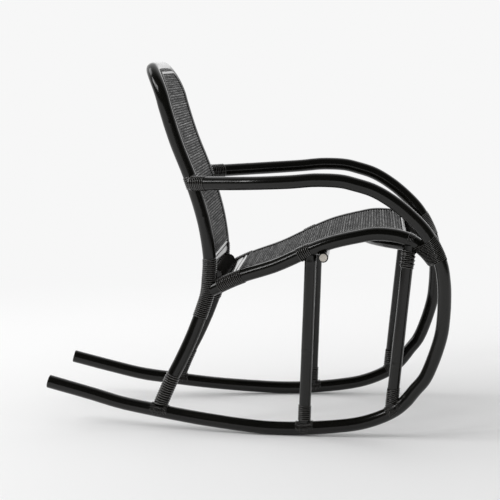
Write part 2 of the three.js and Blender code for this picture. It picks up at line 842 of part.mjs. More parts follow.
// A strand led to and fro over a pole's top and sides, under a leg's foot
function addSaddle(name, pole, centreShare, legDirection) {
  const inner = strandInner(pole.radius);
  const length = pole.path.getLength();
  const bend = saddlePitch / 2;
  const half = (saddlePitch - strandGap) / 2;
  const lean = legDirection.angleTo(pole.path.getTangentAt(centreShare));
  const shift = inner / Math.tan(lean);
  const place = (s, t, radius) => {
    const frame = pole.path.chordFrameAt(centreShare + (s + shift) / length, pole.steps);
    return ringPoint(frame, topAngle(frame) + t / inner, radius);
  };
  const rings = [];
  const ring = (s, t, heading) => {
    const ds = half * Math.sin(heading);
    const dt = half * Math.cos(heading);
    const ridge = place(s, t, inner + strandThickness);
    rings.push([place(s - dt, t + ds, inner), ridge, place(s + dt, t - ds, inner)]);
  };
  const ribs = saddleRibPitches.map((pitches) => pitches * saddlePitch);
  ribs.forEach((s, rib) => {
    const way = rib % 2 === 0 ? 1 : -1;
    const end = saddleReach * inner;
    for (let i = 0; i <= saddleSteps; i++) {
      ring(s, way * end * ((2 * i) / saddleSteps - 1), way > 0 ? 0 : Math.PI);
    }
    if (rib + 1 === ribs.length) {
      return;
    }
    const next = ribs[rib + 1];
    const eighth = Math.PI / 4;
    const corner = bend * Math.SQRT1_2;
    const turned = (quarterTurns) => (way > 0 ? quarterTurns * eighth : Math.PI - quarterTurns * eighth);
    ring(s + bend - corner, way * (end + corner), turned(1));
    ring(s + bend, way * (end + bend), turned(2));
    if (next - s > saddlePitch + seatGap) {
      ring(next - bend, way * (end + bend), turned(2));
    }
    ring(next - bend + corner, way * (end + corner), turned(3));
  });
  addStrand(name, rings);
}

function topAngle(frame) {
  return Math.atan2(frame.binormal.z, frame.normal.z);
}

// A helix round a rail and the loop beside it
function addDoubleWinding(name, rail, loop, [fromShare, toShare], turns) {
  const radius = (poleRadius + 3 * seatGap) / Math.cos(Math.PI / (2 * jointArcSteps));
  const nearest = (share) => nearestShare(loop.path, rail.path.getPointAt(share));
  const loopFrom = nearest(fromShare);
  const loopTo = nearest(toShare);
  const span = toShare - fromShare;
  const halfStep = (span / turns - strandGap / rail.path.getLength()) / 2;
  const steps = 2 * (jointArcSteps + 1);
  const station = (share, step, radial) => {
    const near = rail.path.chordFrameAt(share, rail.steps);
    const along = (share - fromShare) / span;
    const far = loop.path.chordFrameAt(loopFrom + (loopTo - loopFrom) * along, loop.steps);
    const way = Math.sign(near.tangent.dot(far.tangent));
    const tangent = near.tangent.clone().addScaledVector(far.tangent, way).normalize();
    const across = far.point.clone().sub(near.point);
    across.addScaledVector(tangent, -across.dot(tangent)).normalize();
    const normal = new THREE.Vector3().crossVectors(tangent, across);
    const onLoop = step <= jointArcSteps;
    const arcStep = onLoop ? step : step - 1;
    const angle = (arcStep * Math.PI) / jointArcSteps - Math.PI / 2;
    const point = (onLoop ? far : near).point.clone();
    point.addScaledVector(across, radial * Math.cos(angle));
    return point.addScaledVector(normal, radial * Math.sin(angle));
  };
  const rings = [];
  for (let i = 0; i <= turns * steps; i++) {
    const share = fromShare + (span * i) / (turns * steps);
    const step = i % steps;
    rings.push([
      station(share - halfStep, step, radius),
      station(share, step, radius + strandThickness),
      station(share + halfStep, step, radius),
    ]);
  }
  addStrand(name, rings);
}

function nearestShare(path, point) {
  let best = loopFromShare;
  let least = Infinity;
  for (let i = 0; i <= nearestSamples; i++) {
    const share = loopFromShare + ((middleShare - loopFromShare) * i) / nearestSamples;
    const distance = path.getPointAt(share).distanceTo(point);
    if (distance < least) {
      least = distance;
      best = share;
    }
  }
  return best;
}

const back = { path: backPath, radius: poleRadius, steps: backSteps };
for (const name of Object.keys(sides)) {
  const side = { path: sidePath[name], radius: poleRadius, steps: sidePoleSteps };
  const rail = { path: railPath[name], radius: poleRadius, steps: railSteps };
  const middleLeg = { path: legPath.middle[name], radius: legRadius, steps: 2 };
  const frontLeg = { path: legPath.front[name], radius: legRadius, steps: 2 };
  const onRail = (share) => railShareAt(name, share * chairDepth);
  const onRunner = (share) => rockerShareAt(name, share * chairDepth);
  const alongFrom = (path, start, end) => [start / path.getLength(), end / path.getLength()];
  const armShares = alongFrom(side.path, armWindingStart, armWindingStart + armWindingLength);
  addWinding(`arm_winding_${name}`, side, armShares, armTurns);
  const postShares = postWindingShares.map((share) => backShareAt(name, share * armHeight));
  addWinding(`post_winding_${name}`, back, postShares, postTurns);
  const scarfShares = scarfWindingShares.map((share) => backShareAt(name, share * seatHeight));
  addWinding(`scarf_winding_${name}`, back, scarfShares, scarfTurns);
  addWinding(`rail_rear_winding_${name}`, rail, railRearWindingShares.map(onRail), railRearTurns);
  addWinding(`rail_middle_winding_${name}`, rail, railMiddleWindingShares.map(onRail), railMiddleTurns);
  addDoubleWinding(`front_winding_${name}`, rail, side, frontWindingShares.map(onRail), frontTurns);
  const topEnd = frontLegTopWindingStart + frontLegTopWindingLength;
  const topShares = alongFrom(frontLeg.path, frontLegTopWindingStart, topEnd).map((share) => 1 - share);
  addWinding(`front_leg_top_winding_${name}`, frontLeg, topShares, frontLegTurns);
  const footShares = (path, start, length) => alongFrom(path, start + length, start);
  const rearShares = footShares(backPath, rearFootWindingStart, rearFootWindingLength);
  const rearFoot = name === 'left' ? rearShares : rearShares.map((share) => 1 - share);
  const middleFoot = footShares(middleLeg.path, middleFootWindingStart, footWindingLength);
  const frontFoot = footShares(frontLeg.path, frontFootWindingStart, footWindingLength);
  const feet = [
    ['rear', back, rearFoot, rearFootTurns, onRunner(rearFootShare)],
    ['middle', middleLeg, middleFoot, footTurns, onRunner(middleLegFootShare)],
    ['front', frontLeg, frontFoot, footTurns, onRunner(frontLegFootShare)],
  ];
  for (const [kind, leg, shares, turns, runner] of feet) {
    addWinding(`${kind}_foot_winding_${name}`, leg, shares, turns, side.path.getTangentAt(runner));
    const direction = leg.path.getPointAt(shares[0]).sub(side.path.getPointAt(runner)).normalize();
    addSaddle(`${kind}_foot_saddle_${name}`, side, runner, direction);
  }
}

// The assembly's origin lies under the middle of its bounding box
const bounds = new THREE.Box3().setFromObject(chair);
const centre = bounds.getCenter(new THREE.Vector3());
chair.position.set(-centre.x, -centre.y, -bounds.min.z);
console.log(`moved by ${[-centre.x, -centre.y, -bounds.min.z].map((v) => v.toFixed(3)).join(', ')}`);

export default chair;
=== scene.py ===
import math

import bpy
import numpy as np
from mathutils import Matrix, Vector


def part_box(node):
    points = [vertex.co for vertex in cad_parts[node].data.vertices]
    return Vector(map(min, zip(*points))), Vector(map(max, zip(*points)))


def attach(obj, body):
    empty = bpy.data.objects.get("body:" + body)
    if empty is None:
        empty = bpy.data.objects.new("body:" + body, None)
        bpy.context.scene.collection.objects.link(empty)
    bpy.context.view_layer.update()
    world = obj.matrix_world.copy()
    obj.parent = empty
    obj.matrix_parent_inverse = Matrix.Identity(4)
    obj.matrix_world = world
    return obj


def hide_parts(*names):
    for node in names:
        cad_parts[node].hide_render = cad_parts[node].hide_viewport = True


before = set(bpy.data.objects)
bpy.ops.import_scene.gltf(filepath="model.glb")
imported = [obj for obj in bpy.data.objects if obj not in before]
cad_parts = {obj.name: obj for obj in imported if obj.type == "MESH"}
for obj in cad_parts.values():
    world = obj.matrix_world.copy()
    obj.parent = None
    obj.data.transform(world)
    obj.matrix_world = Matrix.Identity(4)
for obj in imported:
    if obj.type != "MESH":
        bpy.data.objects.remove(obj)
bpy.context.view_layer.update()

MM = 0.001
TURN = 2 * math.pi

# The chair's sizes and bent shapes, in millimetres, as the CAD model has them
CHAIR_DEPTH, BACK_HEIGHT, ARM_HEIGHT, SEAT_HEIGHT, ROCKER_RISE = 900, 798, 564, 445, 84
ARM_SPREAD, ROCKER_SPREAD, BACK_SPREAD = 291, 235, 172
POLE, LEG, CROSSBAR, UNDER_BAR, EDGE_BAR = 15, 13, 13, 11, 4.5
CORNER, CURL, LEAN, SPLAY_TOP = 80, 17, 0.22, 0.4
ARM_END_SPREAD, ARM_END_HEIGHT = 205.26, 0.974 * ARM_HEIGHT
PANEL_LIFT, PANEL_HALF, PANEL_EDGE, BEAD = 11, 1.5, 16.3, 6
CORNER_START = BACK_HEIGHT - CORNER

# Places along the depth, as shares of the chair's depth
REAR_FOOT, MIDDLE_FOOT, FRONT_FOOT = -0.213, 0.151, 0.361
MIDDLE_TOP, FRONT_TOP = 0.1655, 0.403
SEAT_REAR_BAR, SEAT_FRONT_BAR = -0.018, 0.387
FRONT_CROSSBAR_AT, MIDDLE_CROSSBAR_AT = 0.4155, 0.196

# Places up the chair, as shares of the seat's height
RAIL_START, REAR_CROSSBAR_AT, BRACE_AT, BACK_BAR_AT, SCARF_AT = 0.688, 0.764, 0.945, 0.8604, 0.7056

# Small sizes of the frame, in millimetres
REAR_BAR_AHEAD, REAR_BAR_REACH, CROSSBAR_SINK = 16.8, 162, 3
LOOP_GAP, LOOP_SHARE = 0.6, 0.96

# How finely the curves are drawn and searched
CURVE_STEPS, CORNER_STEPS, BRACE_STEPS = 60, 9, 13
TANGENT_REACH, SEARCH_SAMPLES = 1.5, 4000

ARM_SHARES = [
    (-0.067, 0.797, 0.978), (0.027, 0.921, 0.984), (0.117, 0.983, 0.992), (0.178, 1, 1),
    (0.239, 0.997, 0.996), (0.271, 0.993, 0.984), (0.314, 0.986, 0.962), (0.356, 0.979, 0.924),
    (0.4, 0.973, 0.868), (0.4405, 0.966, 0.798), (0.4745, 0.962, 0.69), (0.4835, 0.96, 0.61),
    (0.485, 0.959, 0.545), (0.483, 0.959, 0.471), (0.478, 0.959, 0.41), (0.4585, 0.945, 0.307),
    (0.4395, 0.935, 0.2385),
]
ROCKER_SHARES = [
    (0.418, 1.136, 1.131), (0.3945, 1.119, 0.81), (0.371, 1.102, 0.583), (0.3355, 1.081, 0.375),
    (0.287, 1.06, 0.196), (0.227, 1.038, 0.089), (0.147, 1.013, 0.015), (0.098, 1, 0),
    (0.043, 0.983, 0.015), (-0.107, 0.889, 0.161), (-0.239, 0.804, 0.363), (-0.306, 0.762, 0.482),
    (-0.384, 0.723, 0.696), (-0.492, 0.702, 1),
]
POST_SHARES = [
    (-0.2043, 0.945), (-0.1926, 0.8875), (-0.1681, 0.802), (-0.1333, 0.702), (-0.1063, 0.608),
    (-0.0945, 0.551), (-0.0858, 0.472), (-0.088, 0.42), (-0.092, 0.378), (-0.102, 0.3405),
    (-0.1135, 0.304), (-0.132, 0.2515), (-0.155, 0.195), (-0.18, 0.139),
]
RAIL_SHARES = [
    (-0.04, 0.742), (0.001, 0.778), (0.078, 0.832), (0.1655, 0.915), (0.2165, 0.955),
    (0.2825, 0.988), (0.317, 1), (0.355, 0.998), (0.387, 0.985), (0.4155, 0.958),
    (0.442, 0.915), (0.4625, 0.865),
]


def unit(vectors):
    return vectors / np.linalg.norm(vectors, axis=-1, keepdims=True)


def run_length(points):
    """The length run up to each of the points."""
    return np.concatenate([[0], np.cumsum(np.linalg.norm(np.diff(points, axis=0), axis=1))])


def smooth_curve(points):
    """A centripetal Catmull-Rom curve through the points."""
    p = np.array(points, float)
    p = np.vstack([2 * p[0] - p[1], p, 2 * p[-1] - p[-2]])
    out = []
    for i in range(1, len(p) - 2):
        a, b, c, d = p[i - 1:i + 3]
        t0, t1, t2 = (max(np.linalg.norm(v), 1e-9) ** 0.5 for v in (b - a, c - b, d - c))
        m1 = ((b - a) / t0 - (c - a) / (t0 + t1) + (c - b) / t1) * t1
        m2 = ((c - b) / t1 - (d - b) / (t1 + t2) + (d - c) / t2) * t1
        u = np.linspace(0, 1, CURVE_STEPS, endpoint=False)[:, None]
        out.append(b + m1 * u + (3 * (c - b) - 2 * m1 - m2) * u**2 + (2 * (b - c) + m1 + m2) * u**3)
    return np.vstack(out + [p[-2:-1]])


class Path:
    """A centreline measured along its length. A direction, or one for each point, turns its section."""

    def __init__(self, points, reference):
        self.points = smooth_curve(points)
        self.marks = run_length(self.points)
        self.length = self.marks[-1]
        self.reference = reference

    def at(self, s):
        s = np.asarray(s, float)
        return np.stack([np.interp(s, self.marks, self.points[:, k]) for k in range(3)], -1)

    def frames(self, s):
        s = np.clip(np.atleast_1d(np.asarray(s, float)), 0, self.length)
        ahead, behind = np.minimum(s + TANGENT_REACH, self.length), np.maximum(s - TANGENT_REACH, 0)
        tangent = unit(self.at(ahead) - self.at(behind))
        point = self.at(s)
        by_point = callable(self.reference)
        reference = self.reference(point) if by_point else np.array([self.reference], float)
        normal = unit(reference - tangent * (tangent * reference).sum(1)[:, None])
        return point, tangent, normal, np.cross(tangent, normal)

    def where(self, axis, value, start, end):
        """The length, between two lengths, at which a coordinate first reaches a value."""
        s = np.linspace(start, end, SEARCH_SAMPLES)
        v = self.at(s)[:, axis] - value
        hit = np.nonzero(v[:-1] * v[1:] <= 0)[0]
        if not len(hit):
            return end
        i = hit[0]
        return s[i] + (s[i + 1] - s[i]) * v[i] / (v[i] - v[i + 1])


def straight(a, b, reference):
    return Path([a, (np.array(a) + np.array(b)) / 2, b], reference)


AXIS_Y, AXIS_Z = (0, 1, 0), (0, 0, 1)
SIDES = {"right": -1, "left": 1}
post_side = Path([(x * CHAIR_DEPTH, 0, z * BACK_HEIGHT) for x, z in POST_SHARES][::-1], AXIS_Y)


def post_depth(height):
    return post_side.at(post_side.where(2, height, 0, post_side.length))[0]


def side_path(side):
    points = [(post_depth(ARM_END_HEIGHT), side * ARM_END_SPREAD, ARM_END_HEIGHT)]
    points += [(x * CHAIR_DEPTH, side * y * ARM_SPREAD, z * ARM_HEIGHT) for x, y, z in ARM_SHARES]
    for x, y, z in ROCKER_SHARES:
        points.append((x * CHAIR_DEPTH, side * y * ROCKER_SPREAD, POLE + z * ROCKER_RISE))
    return Path(points, AXIS_Y)


side_paths = {name: side_path(side) for name, side in SIDES.items()}


def runner_at(name, share):
    path = side_paths[name]
    return path.where(0, share * CHAIR_DEPTH, path.length, path.length / 2)


def back_half(name):
    side = SIDES[name]
    foot = side_paths[name].at(runner_at(name, REAR_FOOT))
    spread = abs(foot[1])
    post = []
    for x, z in POST_SHARES[::-1]:
        if z * BACK_HEIGHT < CORNER_START - POLE:
            y = BACK_SPREAD + (spread - BACK_SPREAD) * max(0, 1 - z / SPLAY_TOP)
            post.append((x * CHAIR_DEPTH, side * y, z * BACK_HEIGHT))
    corner = []
    for angle in np.linspace(0, math.pi / 2, CORNER_STEPS):
        rise = CORNER * math.sin(angle)
        x = post_depth(CORNER_START) - LEAN * rise - CURL * math.sin(angle) ** 2
        y = BACK_SPREAD - CORNER * (1 - math.cos(angle))
        corner.append((x, side * y, CORNER_START + rise))
    return [tuple(foot), *post, *corner]


def back_normal(points):
    """Square to the back's face, which leans and curls to the rear over the corners' height."""
    rise = np.maximum(0, points[:, 2] - CORNER_START) / CORNER
    slope = LEAN + 2 * CURL * rise / CORNER
    return unit(np.stack([np.ones(len(rise)), np.zeros(len(rise)), slope], -1))


back_path = Path(back_half("left") + back_half("right")[::-1], back_normal)


def back_at(name, height):
    start = 0 if name == "left" else back_path.length
    return back_path.where(2, height, start, back_path.length / 2)


def rail_path(side):
    start_z = RAIL_START * SEAT_HEIGHT
    start_x = post_depth(start_z)
    end_x = RAIL_SHARES[-1][0] * CHAIR_DEPTH
    front = LOOP_SHARE * ARM_SPREAD - 2 * POLE - LOOP_GAP
    profile = [(start_x, start_z)] + [(x * CHAIR_DEPTH, z * SEAT_HEIGHT) for x, z in RAIL_SHARES]
    points = []
    for x, z in profile:
        widening = math.sin((x - start_x) / (end_x - start_x) * math.pi / 2)
        points.append((x, side * (BACK_SPREAD + (front - BACK_SPREAD) * widening), z))
    return Path(points, AXIS_Y)


rail_paths = {name: rail_path(side) for name, side in SIDES.items()}


def rail_at(name, share):
    return rail_paths[name].where(0, share * CHAIR_DEPTH, 0, rail_paths[name].length)


def leg_path(name, foot_share, top_share):
    foot = side_paths[name].at(runner_at(name, foot_share))
    return straight(foot, rail_paths[name].at(rail_at(name, top_share)), AXIS_Y)


middle_legs = {name: leg_path(name, MIDDLE_FOOT, MIDDLE_TOP) for name in SIDES}
front_legs = {name: leg_path(name, FRONT_FOOT, FRONT_TOP) for name in SIDES}


def cross_path(x, z, reach):
    return straight((x, -reach, z), (x, reach, z), AXIS_Z)


rear_bar_height = REAR_CROSSBAR_AT * SEAT_HEIGHT
rear_bar = cross_path(post_depth(rear_bar_height) + REAR_BAR_AHEAD, rear_bar_height, REAR_BAR_REACH)
front_seat = rail_paths["left"].at(rail_at("left", FRONT_CROSSBAR_AT))
front_bar = cross_path(front_seat[0], front_seat[2], front_seat[1] - POLE + CROSSBAR_SINK)
under_seat = rail_paths["left"].at(rail_at("left", MIDDLE_CROSSBAR_AT))
under_bar = cross_path(under_seat[0], under_seat[2] - POLE - UNDER_BAR, under_seat[1] + POLE)


def brace_path():
    """A quarter circle that bows to the rear between the front legs."""
    leg = front_legs["left"]
    end = leg.at(leg.where(2, BRACE_AT * SEAT_HEIGHT, 0, leg.length))
    radius = end[1] / math.sin(math.pi / 4)
    centre = end[0] + radius * math.cos(math.pi / 4)
    angles = np.linspace(-1, 1, BRACE_STEPS) * math.pi / 4
    return Path([(centre - radius * math.cos(a), radius * math.sin(a), end[2]) for a in angles], AXIS_Z)


brace = brace_path()

# The CAD model stands with its box's middle over the origin
low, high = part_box("rear_crossbar")
bar_middle = rear_bar.at(rear_bar.length / 2)
SHIFT = np.array((low + high) / 2) / MM - bar_middle
SHIFT[1] = 0


# Meshes
def ring_faces(rows, count):
    """Faces between rings of points, each ring with the same count of them."""
    faces = []
    for i in range(rows - 1):
        for j in range(count):
            a, b = i * count + j, i * count + (j + 1) % count
            faces.append((a, b, b + count, a + count))
    return faces


def make_mesh(name, verts, rows, count, uvs, material, nodes):
    """A piece of rings of points, in millimetres, with a flat cap at each end.

    The UVs are given face by face, the two caps' last. The piece rides the chair and stands for the nodes.
    """
    faces = ring_faces(rows, count)
    smooth = len(faces)
    last = (rows - 1) * count
    faces += [tuple(range(count - 1, -1, -1)), tuple(range(last, last + count))]
    mesh = bpy.data.meshes.new(name)
    mesh.from_pydata(((np.asarray(verts) + SHIFT) * MM).tolist(), [], faces)
    layer = mesh.uv_layers.new(name="UVMap")
    flat_uv = np.array([c for face in uvs for c in face], np.float32) * MM
    layer.data.foreach_set("uv", flat_uv.ravel())
    mesh.polygons.foreach_set("use_smooth", [i < smooth for i in range(len(faces))])
    mesh.materials.append(material)
    mesh.validate()
    mesh.update()
    obj = bpy.data.objects.new(name, mesh)
    bpy.context.scene.collection.objects.link(obj)
    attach(obj, "root")
    if nodes:
        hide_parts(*nodes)


def around(normal, binormal, angle):
    """Directions out of a path's sections, at one angle for each section."""
    return normal * np.cos(angle)[:, None] + binormal * np.sin(angle)[:, None]


# A pole's eased ends, its nodes, which are the faint rings that cane grows with, and the waves in its
# radius by height, length and phase
EASE, EASE_STEPS, EASE_SHARE = 1.4, (0, 0.25, 0.7, 1.4), 0.55
NODE_PITCH, NODE_SHIFT, NODE_FIRST = 215, 35, (40, 160)
NODE_HEIGHT, NODE_WIDTH, NODE_REACH, NODE_STEPS, NODE_CLEAR = 0.14, 4, 7, 9, 3
WANDERS = ((0.1, 47, 1), (0.07, 19, 2))
POLE_UNDERSIZE, POLE_STEP = 0.25, 5


def pole(
    name, path, start, end, radius, material, nodes, seed,
    sides=28, cut=2, slot="lacquered_pole",
):
    """A round rattan pole with faint rings at its nodes, and ends eased in proportion to the cut."""
    rng = np.random.default_rng(seed)
    s = np.linspace(start, end, max(3, int((end - start) / POLE_STEP)))
    eased = np.array(EASE_STEPS)
    s = np.unique(np.concatenate([s[1:-1], start + eased, end - eased]))
    rings = np.arange(start + rng.uniform(*NODE_FIRST), end, NODE_PITCH)
    rings = rings + rng.uniform(-NODE_SHIFT, NODE_SHIFT, len(rings))
    extra = (rings[:, None] + np.linspace(-NODE_REACH, NODE_REACH, NODE_STEPS)[None, :]).ravel()
    inside = (extra > start + NODE_CLEAR) & (extra < end - NODE_CLEAR)
    s = np.unique(np.concatenate([s, extra[inside]]))
    swell = np.zeros_like(s)
    for place in rings:
        swell += NODE_HEIGHT * np.exp(-((s - place) / NODE_WIDTH) ** 2)
    swell += sum(height * np.sin(s / length + k * seed) for height, length, k in WANDERS)
    r = radius - POLE_UNDERSIZE + swell
    for edge in (start, end):
        r = r - cut * EASE_SHARE * np.clip(1 - np.abs(s - edge) / EASE, 0, 1) ** 2
    centre, _, normal, binormal = path.frames(s)
    a = np.arange(sides) * TURN / sides
    out = normal[:, None, :] * np.cos(a)[None, :, None] + binormal[:, None, :] * np.sin(a)[None, :, None]
    verts = (centre[:, None, :] + out * r[:, None, None]).reshape(-1, 3)
    verts[:, 2] = np.maximum(verts[:, 2], -SHIFT[2])
    uvs = []
    for i in range(len(s) - 1):
        for j in range(sides):
            u0, u1 = j * TURN * radius / sides, (j + 1) * TURN * radius / sides
            uvs.append([(u0, s[i]), (u1, s[i]), (u1, s[i + 1]), (u0, s[i + 1])])
    disc = [(radius * math.cos(angle), radius * math.sin(angle)) for angle in a]
    uvs += [disc[::-1], disc]
    make_mesh(name, verts, len(s), sides, uvs, material, nodes)


# A strand's section as shares of its half width and thickness, and where each corner is across it
STRAND_PROFILE = [
    (-0.9, -0.2), (-1, 0.2), (-0.9, 0.5), (-0.45, 0.82), (0, 1), (0.45, 0.82), (0.9, 0.5),
    (1, 0.2), (0.9, -0.2),
]
STRAND_ACROSS = (0, 0.5, 1, 1.6, 2.2, 2.8, 3.4, 3.9, 4.4, 6)
# Where the painted highlight runs across a strand, and its half width, in millimetres
CREST_AT, CREST_HALF = 2.2, 0.5

# A strand's thickness, its lift off the pole, how its ends sink away, and the gaps between its turns
STRAND_THICK, STRAND_LIFT, STRAND_TUCK, TUCK_DEPTH = 1.6, 0.05, 3, 1.1
STRAND_GAP, PAIR_GAP = 0.42, 0.55
STRAND_STEPS, RUNNER_FADE = 22, 60

# The wander of a strand along the pole, and its waves by height, pitch and phase
WANDER = 0.12
WAVES = ((1, 1.7, 1), (0.6, 4.1, 2.3), (0.4, 9.7, 0.7))

# The dark matt sleeve under a winding: painted shade, with some dirt, in the gaps between its turns
BED_LIFT, BED_INSET, BED_SIDES = 0.75, 1, 20


def strand(
    name, base, out, side, half, thick, material, nodes,
    tuck=STRAND_TUCK,
):
    """A flat, crowned strand laid along the base points. Its two ends sink away."""
    profile = np.array(STRAND_PROFILE)
    rows, count = len(base), len(profile)
    sink = np.zeros(rows)
    if tuck:
        falling = np.linspace(1, 0, tuck + 1)
        sink[: tuck + 1] = falling
        sink[-tuck - 1:] = np.maximum(sink[-tuck - 1:], falling[::-1])
    half = np.broadcast_to(half, rows)
    w = profile[None, :, 0] * half[:, None]
    h = (profile[None, :, 1] - TUCK_DEPTH * sink[:, None]) * thick
    verts = base[:, None, :] + side[:, None, :] * w[..., None] + out[:, None, :] * h[..., None]
    run = run_length(base)
    uvs = []
    for i in range(rows - 1):
        for u0, u1 in zip(STRAND_ACROSS, STRAND_ACROSS[1:]):
            uvs.append([(u0, run[i]), (u1, run[i]), (u1, run[i + 1]), (u0, run[i + 1])])
    uvs += [[(0, 0)] * count] * 2
    make_mesh(name, verts.reshape(-1, 3), rows, count, uvs, material, nodes)


def wave(t, seed, amount):
    """A small smooth wander, the same in every run."""
    return amount * sum(height * np.sin(t * pitch + phase * seed) for height, pitch, phase in WAVES)


def shade_bed(name, path, start, end, radius):
    """A dark matt sleeve seen between a winding's turns: painted shade, with some dirt, in the gaps."""
    low_end, high_end = sorted((start, end))
    pole(
        f"{name}_bed", path, low_end + BED_INSET, high_end - BED_INSET, radius + BED_LIFT, matt_strand,
        [], 0, sides=BED_SIDES, cut=0, slot="wound_strand",
    )


def bound(
    name, path, radius, start, end, turns, material, nodes, seed,
    runner=None, fade=RUNNER_FADE, thick=STRAND_THICK, steps=STRAND_STEPS, half=None,
):
    """A strand wound round one pole. Turns near a runner lie along it."""
    t = np.linspace(0, 1, int(turns * steps) + 1)
    angle = t * turns * TURN
    pitch = abs(end - start) / turns
    s = start + (end - start) * t + wave(angle / TURN * 2, seed, WANDER)
    centre, tangent, normal, binormal = path.frames(s)
    out = around(normal, binormal, angle)
    if runner is not None:
        dot = (tangent * runner).sum(1)
        level = tangent - dot[:, None] * runner
        slant = -(out * level).sum(1) * (radius + thick) / (tangent * level).sum(1)
        s = s + slant * np.clip(1 - np.abs(s - end) / fade, 0, 1)
        centre, tangent, normal, binormal = path.frames(s)
        out = around(normal, binormal, angle)
    base = centre + out * (radius + STRAND_LIFT)
    if nodes:
        shade_bed(name, path, start, end, radius)
    strand(name, base, out, tangent, half or pitch / 2 - STRAND_GAP, thick, material, nodes)


# A turn round two poles: steps on each arc and each straight, and the stretch of the loop searched
ARC_STEPS, FLAT_STEPS = 9, 4
LOOP_STRETCH, LOOP_SAMPLES = (0.2, 0.5), 1500


def bound_pair(name, rail, loop, span, turns, material, nodes, seed):
    """A strand wound round a rail and the loop beside it."""
    spots = np.linspace(loop.length * LOOP_STRETCH[0], loop.length * LOOP_STRETCH[1], LOOP_SAMPLES)

    def nearest(s):
        gaps = np.linalg.norm(loop.at(spots) - rail.at(s), axis=1)
        return spots[np.argmin(gaps)]

    loop_from, loop_to = nearest(span[0]), nearest(span[1])
    side_steps = ARC_STEPS + FLAT_STEPS
    total = turns * 2 * side_steps
    i = np.arange(total + 1)
    share = i / total
    wander = wave(share * turns * 2, seed, WANDER)
    near_p, near_t, _, _ = rail.frames(span[0] + (span[1] - span[0]) * share + wander)
    far_p, far_t, _, _ = loop.frames(loop_from + (loop_to - loop_from) * share)
    far_t = far_t * np.sign((near_t * far_t).sum(1))[:, None]
    tangent = unit(near_t + far_t)
    across = far_p - near_p
    across = unit(across - tangent * (across * tangent).sum(1)[:, None])
    normal = np.cross(tangent, across)
    base = np.zeros_like(near_p)
    out = np.zeros_like(near_p)
    for k, step in enumerate(i % (2 * side_steps)):
        if step < side_steps:
            on, other, first = far_p[k], near_p[k], -math.pi / 2
        else:
            on, other, first = near_p[k], far_p[k], math.pi / 2
        step = step % side_steps
        angle = first + min(step / ARC_STEPS, 1) * math.pi
        slide = max(0, step - ARC_STEPS) / FLAT_STEPS
        out[k] = across[k] * math.cos(angle) + normal[k] * math.sin(angle)
        base[k] = on * (1 - slide) + other * slide + out[k] * (POLE + STRAND_LIFT)
    half = abs(span[1] - span[0]) / turns / 2 - PAIR_GAP
    shade_bed(f"{name}_rail", rail, *span, POLE)
    shade_bed(f"{name}_loop", loop, loop_from, loop_to, POLE)
    strand(name, base, out, tangent, half, STRAND_THICK, material, nodes)


# A rib led over a pole: its points, its turn's share of the way, its half width and thickness
SADDLE_STEPS, SADDLE_TURN, SADDLE_HALF, SADDLE_THICK, SADDLE_WANDER = 19, 0.1, 1.15, 1.7, 0.15


def saddle(name, path, centre_s, reach, offsets, material, nodes, seed):
    """Ribs of one strand, led to and fro over a main pole."""
    rows_base, rows_out, rows_side = [], [], []
    for k, offset in enumerate(offsets):
        way = 1 if k % 2 == 0 else -1
        t = np.linspace(-1, 1, SADDLE_STEPS) * way
        s = np.full(SADDLE_STEPS, centre_s + offset) + wave(t * 3 + k, seed, SADDLE_WANDER)
        if k + 1 < len(offsets):
            turn = np.clip((t * way - (1 - SADDLE_TURN)) / SADDLE_TURN, 0, 1)
            s = s + turn * (offsets[k + 1] - offset) / 2
        if k:
            turn = np.clip((-t * way - (1 - SADDLE_TURN)) / SADDLE_TURN, 0, 1)
            s = s - turn * (offset - offsets[k - 1]) / 2
        centre, tangent, normal, binormal = path.frames(s)
        top = np.arctan2(binormal[:, 2], normal[:, 2])
        out = around(normal, binormal, top + reach[0] + (reach[1] - reach[0]) * (t + 1) / 2)
        rows_base.append(centre + out * (POLE + STRAND_LIFT))
        rows_out.append(out)
        rows_side.append(tangent * way)
    base, out, side = (np.vstack(rows) for rows in (rows_base, rows_out, rows_side))
    strand(name, base, out, side, SADDLE_HALF, SADDLE_THICK, material, nodes)


# The weave: the ribs' pitch, height and rows of points, in millimetres, and the warps' pitch, in metres
RIB, RIB_CROWN, RIB_ROWS = 5.8, 1.1, 6
WARP = 0.0075
BLACK_STRAND = (0.006, 0.0056, 0.0047)


# Materials
def node_material(name, base, roughness, **sockets):
    """A principled material with plain values, which the procedural ones are laid over."""
    mat = bpy.data.materials.new(name)
    mat.use_nodes = True
    tree = mat.node_tree
    shader = tree.nodes["Principled BSDF"]
    shader.inputs["Base Color"].default_value = (*base, 1)
    shader.inputs["Roughness"].default_value = roughness
    for key, value in sockets.items():
        shader.inputs[key.replace("_", " ")].default_value = value
    return mat, tree, shader


def add_node(tree, kind, inputs=None, **settings):
    """A node with its settings, and its inputs linked or given a value."""
    node = tree.nodes.new(kind)
    for key, value in settings.items():
        setattr(node, key, value)
    for key, value in (inputs or {}).items():
        if isinstance(value, bpy.types.NodeSocket):
            tree.links.new(value, node.inputs[key])
        else:
            node.inputs[key].default_value = value
    return node


def maths(tree, operation, a, b=None, c=None, clamp=False):
    inputs = {0: a}
    if b is not None:
        inputs[1] = b
    if c is not None:
        inputs[2] = c
    return add_node(tree, "ShaderNodeMath", inputs, operation=operation, use_clamp=clamp).outputs[0]


def ramp(tree, value, stops):
    """A colour from a value, by stops of place and colour."""
    node = add_node(tree, "ShaderNodeValToRGB", {0: value})
    elements = node.color_ramp.elements
    while len(elements) < len(stops):
        elements.new(0.5)
    for element, (place, colour) in zip(elements, stops):
        element.position = place
        element.color = (*colour, 1)
    return node.outputs[0]


